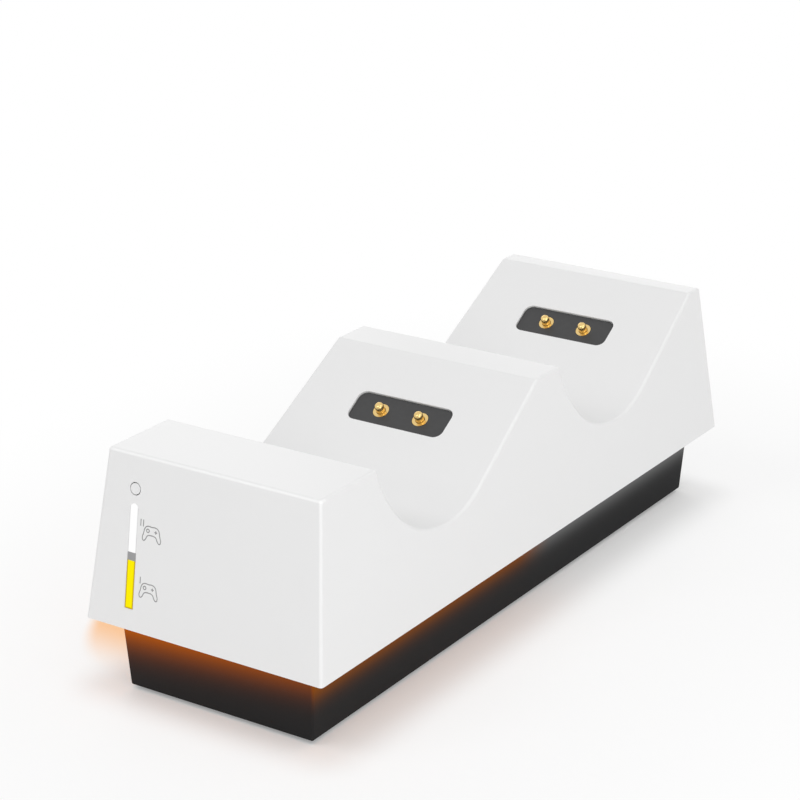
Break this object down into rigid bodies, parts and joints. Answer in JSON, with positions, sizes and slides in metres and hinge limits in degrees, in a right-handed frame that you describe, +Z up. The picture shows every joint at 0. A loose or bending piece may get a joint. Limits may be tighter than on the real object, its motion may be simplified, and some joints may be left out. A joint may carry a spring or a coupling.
{
  "type": "controller charging dock",
  "caption": "White wave-shaped charging dock with open cradles for game controllers, sprung contacts, an indicator bar and a button, on a black underlit base.",
  "frame": {"origin": "on the table, under the middle of the dock", "axes": "+X to the right of the front face, +Y from the front face to the back, +Z up"},
  "size_m": [0.0578, 0.1666, 0.0524],
  "materials": {
    "shell_white": "satin",
    "base_black": "fine texture",
    "guide_amber": "lit, frosted",
    "guide_white": "lit, frosted",
    "lens_white": "lit",
    "lens_yellow": "lit",
    "divider_grey": "satin",
    "button_white": "satin",
    "board_green": "lacquered",
    "lamp_cream": "clear",
    "chip_black": "moulded",
    "coil_grey": "ferrite",
    "socket_ivory": "moulded",
    "contact_gold": "plated",
    "inlet_steel": "folded sheet",
    "screw_steel": "zinc plated",
    "ribbon_grey": "flat lead",
    "foot_rubber": "matt",
    "block_black": "fine texture",
    "spring_steel": "drawn wire"
  },
  "bodies": {
    "dock": {"upper_shell": "shell_white", "base_tray": "base_black", "front_light_guide": "guide_amber", "rear_light_guide": "guide_white", "main_board": "board_green", "front_glow_lamps": "lamp_cream", "rear_glow_lamps": "lamp_cream", "charge_chips": "chip_black", "charge_coils": "coil_grey", "lead_sockets": "socket_ivory", "power_board": "board_green", "power_inlet": "inlet_steel", "board_header": "chip_black", "ready_lens": "lens_white", "bar_divider": "divider_grey", "charging_lens": "lens_yellow", "key_switch": "chip_black", "indicator_board": "board_green", "indicator_lamps": "lamp_cream", "indicator_lead": "ribbon_grey", "case_screws": "screw_steel", "board_screws": "screw_steel", "contact_screws": "screw_steel", "indicator_screws": "screw_steel", "front_foot": "foot_rubber", "rear_foot": "foot_rubber", "front_contact_block": "block_black", "front_contact_board": "board_green", "front_contact_lead": "ribbon_grey", "front_left_barrel": "contact_gold", "front_left_spring": "spring_steel", "front_right_barrel": "contact_gold", "front_right_spring": "spring_steel", "rear_contact_block": "block_black", "rear_contact_board": "board_green", "rear_contact_lead": "ribbon_grey", "rear_left_barrel": "contact_gold", "rear_left_spring": "spring_steel", "rear_right_barrel": "contact_gold", "rear_right_spring": "spring_steel"},
    "front_left_contact": {"front_left_pin": "contact_gold"},
    "front_right_contact": {"front_right_pin": "contact_gold"},
    "rear_left_contact": {"rear_left_pin": "contact_gold"},
    "rear_right_contact": {"rear_right_pin": "contact_gold"},
    "button": {"button_cap": "button_white", "switch_plunger": "socket_ivory"}
  },
  "joints": [
    {"name": "front_left_contact_press", "type": "slide", "parent": "dock", "child": "front_left_contact", "axis": [0, 0.524, -0.8517], "range_m": [0, 0.0012], "stiffness_N_per_m": 300, "springref_m": -0.0015, "deforming": ["front_left_spring"]},
    {"name": "front_right_contact_press", "type": "slide", "parent": "dock", "child": "front_right_contact", "axis": [0, 0.524, -0.8517], "range_m": [0, 0.0012], "stiffness_N_per_m": 300, "springref_m": -0.0015, "deforming": ["front_right_spring"]},
    {"name": "rear_left_contact_press", "type": "slide", "parent": "dock", "child": "rear_left_contact", "axis": [0, 0.524, -0.8517], "range_m": [0, 0.0012], "stiffness_N_per_m": 300, "springref_m": -0.0015, "deforming": ["rear_left_spring"]},
    {"name": "rear_right_contact_press", "type": "slide", "parent": "dock", "child": "rear_right_contact", "axis": [0, 0.524, -0.8517], "range_m": [0, 0.0012], "stiffness_N_per_m": 300, "springref_m": -0.0015, "deforming": ["rear_right_spring"]},
    {"name": "button_press", "type": "slide", "parent": "dock", "child": "button", "axis": [0, 0.9893, -0.146], "range_m": [0, 0.0004], "stiffness_N_per_m": 800, "springref_m": -0.0005}
  ]
}
